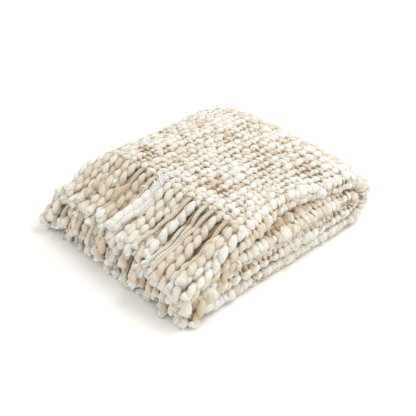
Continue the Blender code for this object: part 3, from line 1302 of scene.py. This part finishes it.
    def _strand(self, end: FringedEnd, root: Array) -> tuple[Array, Spun]:
        """Spin one strand with a loose tuft at its tip, and lay it.

        Args:
            end: Which end it belongs to.
            root: Where it leaves the cloth.

        Returns:
            Its middle line and its make.
        """
        rng, beside = end.rng, root[1] / self.fold.pile_width
        total = rng.uniform(*end.length) * (1 - end.longer_near * beside * 2)
        total *= 1 - self.short_edge * ease((-beside - self.short_from) / self.short_over)
        run = np.arange(0.0, total, self.ring_step)
        edge = abs(beside) > self.edge_from
        full = edge or rng.random() > self.thin_strands or end.thin_run >= self.thin_most
        end.thin_run = 0 if full else end.thin_run + 1
        loosened = self._is_loosened(end, root)
        lean = np.full_like(run, 0.0 if loosened else float(end.thin_run > 0))
        make = end.spinner.spin(run, self.girth, lean, edge or loosened)
        if loosened:
            make.girth *= self.loose_girth
            make.tint *= self.loose_tint
            make.groove *= self.loose_groove
            make.thread += self.loose_thread
        loose = ease(1 - (run[-1] - run) / self.tuft)
        make.girth *= 1 + rng.uniform(*self.tuft_flare) * loose
        closing = np.linspace(0.0, self.tip_closing, self.tip_rings)
        make.girth[-self.tip_rings :] *= np.sqrt(1 - closing**2)
        make.tint *= 1 - self.tuft_bleach * loose
        make.groove *= 1 - loose
        make.thread += (self.tip_thread - make.thread) * ease(loose * 2)
        line = self._hang(end, root, make)
        far = ease((beside - self.arch_from) / self.arch_fade)
        over = np.sin(np.minimum(run / self.arch_span, 1) * math.pi)
        line[:, 2] += end.arch * far * over
        return line, make

    def lay(self, end: FringedEnd) -> list[Piece]:
        """Lay one end's whole fringe, ply by ply from the lowest.

        Args:
            end: Which end, and how its strands fall.

        Returns:
            The finished strands, and the frayed tufts on their tips.
        """
        columns = (np.arange(self.weave.warps.count) + 0.5) * self.weave.warp_pitch
        inset = np.full_like(columns, end.s - end.outward * self.root_inset)
        roots = self.fold.place(columns, inset, np.zeros_like(columns))
        folds = (np.mean(self.fold.tight_fold), np.mean(self.fold.wide_fold))
        ply = np.digitize(columns, folds)
        plies = [np.flatnonzero(ply == number) for number in range(3)]
        plies.sort(key=lambda part: roots[part, 2].mean())
        skein = Skein()
        for part in plies:
            self.heap.make_bed()
            for root in roots[part]:
                line, make = self._strand(end, root)
                self.heap.pile_tube(line, make.girth, self.squash)
                skein.add(line, make)
                self._fray(end, line, make)
                if part is plies[-1] and self._is_loosened(end, root):
                    self._puff(end, line)
        piece = self.loom.sweep_skein(
            skein, end.name, self.sides, self.squash, self.lump, end.seed
        )
        frayed = self.fleece.sweep_skein(
            end.tufts,
            f"{end.name}_tufts",
            self.lock_sides,
            self.lock_squash,
            self.lock_lump,
            end.seed + 2,
        )
        # Painted shade on the strands, deeper the further they lie below the evened bed; loose tips
        # and the tufts get none.
        self.heap.make_bed()
        points = read_values(piece.data, "position", 3)
        depth = self.heap.bed_at(points[:, 0], points[:, 1]) - points[:, 2]
        bound, fade = self.painted_shade_thread
        loose = ease((read_values(piece.data, "thread") - bound) / fade)
        store_values(piece.data, "painted_shade", ease(depth / self.painted_shade_depth) * (1 - loose))
        store_values(frayed.data, "painted_shade", np.zeros(len(frayed.data.vertices)))
        for thing in (piece, frayed):
            points = read_values(thing.data, "position", 3)
            points[:, 2] = np.maximum(points[:, 2], self.floor_clear)
            write_points(thing.data, points)
        return [piece, frayed]

    def _fray(self, end: FringedEnd, line: Array, make: Spun) -> None:
        """Add the loose locks that a strand's cut end comes apart into.

        Args:
            end: The end whose tufts get the locks.
            line: The strand's middle line.
            make: Its make.
        """
        rng = end.rng
        ahead = line[-1] - line[-self.tip_back]
        ahead /= np.linalg.norm(ahead)
        side = np.array([-ahead[1], ahead[0], 0.0])
        side /= max(np.linalg.norm(side), 1e-6)
        over = np.cross(side, ahead)
        for number in range(self.locks):
            # The first lock is wider and goes straight on, and the others stand round it.
            beside = float(number > 0)
            run = np.array(self.lock_rings) * rng.uniform(*self.lock_length)
            turn = rng.uniform(0, 2 * math.pi)
            lean = math.radians(rng.uniform(*self.lock_leans) * self.lock_spread)
            away = side * math.cos(turn) + over * math.sin(turn)
            start = line[-self.lock_back] + away * beside * 0.5 * make.girth[-self.circle_back]
            bend = beside * np.sin(lean) * run**2 / run[-1]
            points = start + ahead * run[:, None] + away * bend[:, None]
            least = self.floor_clear + self.lock_girth * 0.5
            points[:, 2] = np.maximum(points[:, 2] - self.lock_sag * bend, least)
            size = self.lock_girth * (1.0 if number else self.centre_lock)
            size = size * rng.uniform(*self.lock_sizes)
            size = size * (1 - self.lock_taper * (run / run[-1]) ** 3)
            end.tufts.add(points, Spun.unbound(size, rng.uniform(*self.lock_tints)))

    def _puff(self, end: FringedEnd, line: Array) -> None:
        """Add the fine flyaway fibres round the root of the strand that is barely spun.

        Args:
            end: The end whose tufts get the fibres.
            line: The strand's middle line.
        """
        rng = end.rng
        for _ in range(self.puff_fibres):
            root = line[rng.integers(0, self.puff_rings)]
            start = root + [rng.uniform(*self.puff_root), rng.normal(0, self.puff_scatter), 0.0]
            heading = rng.uniform(-self.puff_fan, self.puff_fan)
            heading += math.pi if rng.random() < self.puff_backward else 0.0
            run = np.linspace(0, rng.uniform(*self.puff_reach), self.puff_points)
            share = run / run[-1]
            turned = heading + rng.uniform(-self.puff_bend, self.puff_bend) * share
            rise = rng.uniform(0, self.puff_rise) * np.sin(share * math.pi)
            x = start[0] + run * np.cos(turned)
            y = start[1] + run * np.sin(turned)
            z = start[2] + self.puff_height + rise - self.puff_droop * share
            size = self.puff_girth * rng.uniform(*self.puff_sizes)
            size = size * (1 - self.puff_taper * share)
            end.tufts.add(np.stack([x, y, z], axis=1), Spun.unbound(size, 0.0))


# ---- Materials ----


@dataclass(frozen=True)
class SlubWool:
    """Soft wool roving, carded and barely twisted, bound with a fine golden thread."""

    # It looks matt and fluffy, a little see-through at its edges, dyed in slow changes along
    # the yarn. Painted shade is laid in its colour: a creamy tan in the binder's grooves, partly
    # the binder's own gold, the same tan in the hollows of its puckers, and a deeper tan between
    # the yarns and in the slits between the layers.
    name: str = "Wool roving bound with golden thread"
    white: str = "#E8E8E3"
    ivory: str = "#E3E0D4"
    cream: str = "#DDD6C6"
    sand: str = "#D3C5AC"
    blush: str = "#DDCDC0"
    binder: str = "#C49B52"
    # A creamy tan in the binder's grooves, partly the binder's own gold and partly painted shade,
    # and in the hollows of the roving's puckers as painted shade.
    groove: str = "#C8AA7A"
    # The tan of painted shade, deep between the yarns and in the slits between the layers.
    painted_shade: str = "#A37D48"
    # A wool fibre is about 0.03 mm thick. Its ridges are drawn this many round a yarn, which is
    # as fine as shows, and crimp_mm is the size of the roving's puckers.
    fibres_round: float = 40.0
    fibres_along: float = 3.0
    cells_round: float = 6.0
    crimp_mm: float = 4.5
    mottle_mm: float = 16.0
    mottle_share: float = 0.35
    roughness: float = 0.92
    specular: float = 0.15
    see_through: float = 0.35
    see_through_mm: float = 4.0
    see_through_hue: tuple[float, float, float] = (1.0, 0.8, 0.55)
    sheen: float = 0.25
    sheen_roughness: float = 0.6
    # From and to of a reading, then the share of the colour (or the brightness) at each.
    groove_span: tuple[float, ...] = (0.78, 1.0, 0.0, 1.7)
    thread_span: tuple[float, ...] = (-0.018, 0.004, 0.0, 0.85)
    speck_span: tuple[float, ...] = (0.3, 0.7, 0.94, 1.06)
    # Painted shade in the puckers' hollows: low readings of the crimp take the groove tan.
    pucker_shade_span: tuple[float, ...] = (0.32, 0.56, 0.25, 0.0)
    # How much of that painted shade's tan the deepest points take.
    painted_shade_share: float = 0.75
    relief: float = 0.7
    groove_relief_mm: float = 2.2
    crimp_relief_mm: float = 2.6
    fibre_relief_mm: float = 0.6

    def build(self) -> Material:
        """Build the material.

        Returns:
            The material, which reads the yarns' own attributes.
        """
        sockets = {
            "Roughness": self.roughness,
            "Specular IOR Level": self.specular,
            "Subsurface Weight": self.see_through,
            "Subsurface Radius": self.see_through_hue,
            "Subsurface Scale": self.see_through_mm * MM,
            "Sheen Weight": self.sheen,
            "Sheen Roughness": self.sheen_roughness,
        }
        material, shader = new_material(self.name, sockets)
        tree = material.node_tree
        add = partial(add_node, tree)
        where = add("ShaderNodeTexCoord", out="Object")
        tint, phase, thread, groove, painted_shade = (
            add("ShaderNodeAttribute", out="Fac", attribute_name=name)
            for name in ("tint", "phase", "thread", "groove", "painted_shade")
        )
        around = add("ShaderNodeAttribute", out="Vector", attribute_name="around")
        fibres = self._fibres(tree, phase, around)
        near = self._nearness(tree, phase, around)
        mottle, crimp = (
            add("ShaderNodeTexNoise", {"Vector": where, "Scale": 1 / (size * MM), "Detail": 2.0})
            for size in (self.mottle_mm, self.crimp_mm)
        )
        uneven = add("ShaderNodeMath", (mottle, 0.5), operation="SUBTRACT")
        uneven = (uneven, self.mottle_share, tint)
        tint = add("ShaderNodeMath", uneven, operation="MULTIPLY_ADD")
        colour = add("ShaderNodeValToRGB", (tint,))
        self._fill_ramp(colour.node.color_ramp)
        inside = add("ShaderNodeMath", (near, thread), operation="SUBTRACT")
        dip, line = (
            add("ShaderNodeMapRange", span, interpolation_type="SMOOTHSTEP")
            for span in ((near, *self.groove_span), (inside, *self.thread_span))
        )
        dip = add("ShaderNodeMath", (dip, groove), operation="MULTIPLY", use_clamp=True)
        # Painted shade deep between the yarns and in the slits between the layers.
        deep = add("ShaderNodeMath", (painted_shade, self.painted_shade_share), operation="MULTIPLY")
        # Painted shade in the hollows of the roving's puckers, where the crimp is low.
        pucker_shade = add("ShaderNodeMapRange", (crimp, *self.pucker_shade_span))
        # The tan in the binder's grooves is partly the binder's gold and partly painted shade.
        for share, over in (
            (dip, self.groove),
            (line, self.binder),
            (deep, self.painted_shade),
            (pucker_shade, self.groove),
        ):
            mix = {"Factor": share, 6: colour, 7: linear(over)}
            colour = add("ShaderNodeMix", mix, out=2, data_type="RGBA")
        speck = add("ShaderNodeMapRange", (fibres, *self.speck_span))
        colour = add("ShaderNodeVectorMath", {0: colour, "Scale": speck}, operation="SCALE")
        tree.links.new(colour, shader.inputs["Base Color"])
        under = {}
        for height, depth_mm, inward in (
            (dip, self.groove_relief_mm, True),
            (crimp, self.crimp_relief_mm, False),
            (fibres, self.fibre_relief_mm, False),
        ):
            shape = {"Strength": self.relief, "Distance": depth_mm * MM, "Height": height}
            under = {"Normal": add("ShaderNodeBump", shape | under, invert=inward)}
        tree.links.new(under["Normal"], shader.inputs["Normal"])
        return material

    def _fill_ramp(self, ramp: bpy.types.ColorRamp) -> None:
        """Put the dyed colours on a colour ramp in the order of Shade.

        Args:
            ramp: The new ramp, which has two colours.
        """
        ramp.elements[0].position = Shade.WHITE.value
        ramp.elements[1].position = Shade.BLUSH.value
        for shade in (Shade.IVORY, Shade.CREAM, Shade.SAND):
            ramp.elements.new(shade.value)
        colours = (self.white, self.ivory, self.cream, self.sand, self.blush)
        for element, colour in zip(ramp.elements, colours):
            element.color = linear(colour)

    def _fibres(self, tree: Tree, phase: Socket, around: Socket) -> Socket:
        """Draw fibres along the yarn, many of them round it.

        Args:
            tree: The material's tree.
            phase: The turns that the binder has made.
            around: The direction of a point from the yarn's middle line.

        Returns:
            The noise of the fibres.
        """
        add = partial(add_node, tree)
        spread = {0: around, "Scale": self.fibres_round / self.cells_round}
        spread = add("ShaderNodeVectorMath", spread, operation="SCALE")
        along = add("ShaderNodeCombineXYZ", {"Z": phase})
        drawn = (along, (0.0, 0.0, self.fibres_along), spread)
        drawn = add("ShaderNodeVectorMath", drawn, operation="MULTIPLY_ADD")
        return add("ShaderNodeTexNoise", {"Vector": drawn, "Scale": 1.0, "Detail": 3.0})

    def _nearness(self, tree: Tree, phase: Socket, around: Socket) -> Socket:
        """Measure how near a point is to the binder thread.

        Args:
            tree: The material's tree.
            phase: The turns that the binder has made.
            around: The direction of a point from the yarn's middle line.

        Returns:
            1 on the thread, and -1 halfway to its next turn.
        """
        add = partial(add_node, tree)
        angle = add("ShaderNodeMath", (phase, 2 * math.pi), operation="MULTIPLY")
        cosine = add("ShaderNodeMath", (angle,), operation="COSINE")
        sine = add("ShaderNodeMath", (angle,), operation="SINE")
        minus = add("ShaderNodeMath", (sine, -1.0), operation="MULTIPLY")
        pair = (add("ShaderNodeCombineXYZ", (cosine, minus)), around)
        return add("ShaderNodeVectorMath", pair, out="Value", operation="DOT_PRODUCT")


@dataclass(frozen=True)
class PaintedShadeSheet:
    """A dark tan sheet behind the weave: painted shade for the holes between the yarns."""

    # It looks dull, without gloss, in a grain of two tans, and shows only in the holes between
    # yarns, where its dark tan is painted shade.
    name: str = "Tan sheet of painted shade behind the weave"
    colour: str = "#A0865E"
    darker_shade: str = "#786040"
    grain_mm: float = 5.0
    stops: Pair = (0.3, 0.7)
    roughness: float = 1.0
    relief: float = 0.6
    relief_mm: float = 1.0

    def build(self) -> Material:
        """Build the material.

        Returns:
            The material.
        """
        material, shader = new_material(self.name, {"Roughness": self.roughness})
        tree = material.node_tree
        add = partial(add_node, tree)
        where = add("ShaderNodeTexCoord", out="Object")
        grain = {"Vector": where, "Scale": 1 / (self.grain_mm * MM), "Detail": 3.0}
        grain = add("ShaderNodeTexNoise", grain)
        colour = add("ShaderNodeValToRGB", (grain,))
        elements = colour.node.color_ramp.elements
        for stop, shade, place in zip(elements, (self.darker_shade, self.colour), self.stops):
            stop.color = linear(shade)
            stop.position = place
        tree.links.new(colour, shader.inputs["Base Color"])
        shape = {"Strength": self.relief, "Distance": self.relief_mm * MM, "Height": grain}
        tree.links.new(add("ShaderNodeBump", shape), shader.inputs["Normal"])
        return material


@dataclass(frozen=True)
class StudioPaper:
    """Seamless background paper, uncoated."""

    # It looks even, white and matt, and takes soft shadows without a gleam.
    name: str = "Matt white background paper"
    colour: str = "#F7F6F4"
    roughness: float = 0.9

    def build(self) -> Material:
        """Build the material.

        Returns:
            The material.
        """
        sockets = {"Base Color": linear(self.colour), "Roughness": self.roughness}
        return new_material(self.name, sockets | {"Specular IOR Level": 0.0})[0]


# ---- Studio ----


@dataclass
class Studio:
    """A white floor under even white light, with one large soft lamp and the camera."""

    azimuth: float = -43.4
    elevation: float = 33.4
    distance: float = 1.755
    lens: float = 75.2
    aim: tuple[float, float, float] = (0.0, 0.0, 0.07)
    lower_by: float = 0.032
    floor_size: float = 14.0
    surround: float = 0.95
    surround_colour: str = "#FFFDF9"
    key_colour: str = "#F6FAFF"
    key_power: float = 34.0
    key_size: float = 1.6
    key_azimuth: float = 60.0
    key_elevation: float = 58.0
    key_distance: float = 2.6

    def _place(self, thing: Piece, azimuth: float, elevation: float, distance: float) -> Vector:
        """Stand a lamp or camera round the throw, facing it.

        Args:
            thing: The lamp's or camera's object.
            azimuth: Its direction in degrees, where 0 looks along +Y.
            elevation: Its height in degrees.
            distance: How far it is from the throw.

        Returns:
            The direction from the throw to it.
        """
        a, e = math.radians(azimuth), math.radians(elevation)
        towards = Vector((math.sin(a) * math.cos(e), -math.cos(a) * math.cos(e), math.sin(e)))
        thing.location = Vector(self.aim) + towards * distance
        thing.rotation_euler = (-towards).to_track_quat("-Z", "Y").to_euler()
        return towards

    def build(self, paper: Material) -> None:
        """Build the floor, the light and the camera.

        Args:
            paper: The floor's material.
        """
        self._build_floor(paper)
        self._build_light()
        self._build_camera()

    def _build_floor(self, paper: Material) -> None:
        """Lay a large flat floor at the height that the throw stands on.

        Args:
            paper: Its material.
        """
        half = self.floor_size / 2
        corners = [(x * half, y * half, 0.0) for x, y in ((-1, -1), (1, -1), (1, 1), (-1, 1))]
        mesh = bpy.data.meshes.new("studio_floor")
        mesh.from_pydata(corners, [], [(0, 1, 2, 3)])
        mesh.materials.append(paper)
        floor = add_object("studio_floor", mesh)

    def _build_light(self) -> None:
        """An even white surround, and a large soft lamp high on the right."""
        world = bpy.data.worlds.new("Studio surround")
        world.use_nodes = True
        back = world.node_tree.nodes["Background"]
        back.inputs["Color"].default_value = linear(self.surround_colour)
        back.inputs["Strength"].default_value = self.surround
        bpy.context.scene.world = world
        bpy.context.scene.view_settings.view_transform = "Standard"
        lamp = bpy.data.lights.new("Soft key", "AREA")
        lamp.shape = "DISK"
        lamp.size = self.key_size
        lamp.energy = self.key_power
        lamp.color = linear(self.key_colour)[:3]
        light = add_object("Soft key", lamp)
        self._place(light, self.key_azimuth, self.key_elevation, self.key_distance)

    def _build_camera(self) -> None:
        """The camera, aimed a little below the throw's middle."""
        camera = add_object("Camera", bpy.data.cameras.new("Camera"))
        camera.data.lens = self.lens
        towards = self._place(camera, self.azimuth, self.elevation, self.distance)
        turned = (-towards).to_track_quat("-Z", "Y")
        below = Vector(self.aim) - turned @ Vector((0.0, self.lower_by, 0.0))
        facing = (below - camera.location).to_track_quat("-Z", "Y")
        camera.rotation_euler = facing.to_euler()
        bpy.context.scene.camera = camera


# ---- Making it ----


def report(piece: Piece) -> Piece:
    """Make a finished piece ride on the throw's one body, and log its size.

    Args:
        piece: The finished piece.

    Returns:
        The same piece.
    """
    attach(piece, "root")
    triangles = sum(len(polygon.vertices) - 2 for polygon in piece.data.polygons)
    LOG.info("%s: %d triangles", piece.name, triangles)
    return piece


def build_throw() -> None:
    """Build the throw: its weave, the body behind it, and a fringe at each end."""
    sweep = YarnSweep().build()
    loom = Loom(sweep, SlubWool().build())
    unspun = SlubWool(name="Unspun fleece", white="#F6F7F6", ivory="#EFEDE6", cream="#E6E0D2")
    fleece = Loom(sweep, unspun.build())
    fold = Fold()
    weave = Weave(fold, loom)
    cloth = [report(piece) for piece in weave.build()]
    # The closed body behind the weave wears a dark tan that is painted shade in the holes between
    # the yarns.
    ground = report(GroundCloth(fold).build(PaintedShadeSheet().build()))
    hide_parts("throw_body")
    heap = Heap()
    fringe = Fringe(fold, weave, loom, fleece, heap)
    heap.pile_cloth(fold, fold.right_turn[1], fold.left_turn[1] + fold.run / 2)
    lower_end = FringedEnd(
        name="fringe_lower_strands",
        seed=31,
        s=fold.length,
        outward=1,
        length=(150 * MM, 172 * MM),
        longer_near=0.03,
        steepest=71.0,
    )
    lower = [report(piece) for piece in fringe.lay(lower_end)]
    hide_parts("fringe_lower")
    heap.pile_cloth(fold, fold.length - fold.run / 2, fold.length)
    top_end = FringedEnd(
        name="fringe_top_strands",
        seed=41,
        s=0.0,
        outward=-1,
        length=(142 * MM, 170 * MM),
        longer_near=0.13,
        steepest=62.0,
        arch=4 * MM,
        loose_at=0.02,
    )
    top = [report(piece) for piece in fringe.lay(top_end)]
    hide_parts("fringe_top")


def main() -> None:
    """Build the throw and its studio."""
    logging.basicConfig(level=logging.INFO, format="%(name)s: %(message)s")
    build_throw()
    Studio().build(StudioPaper().build())


if __name__ == "__main__":
    main()
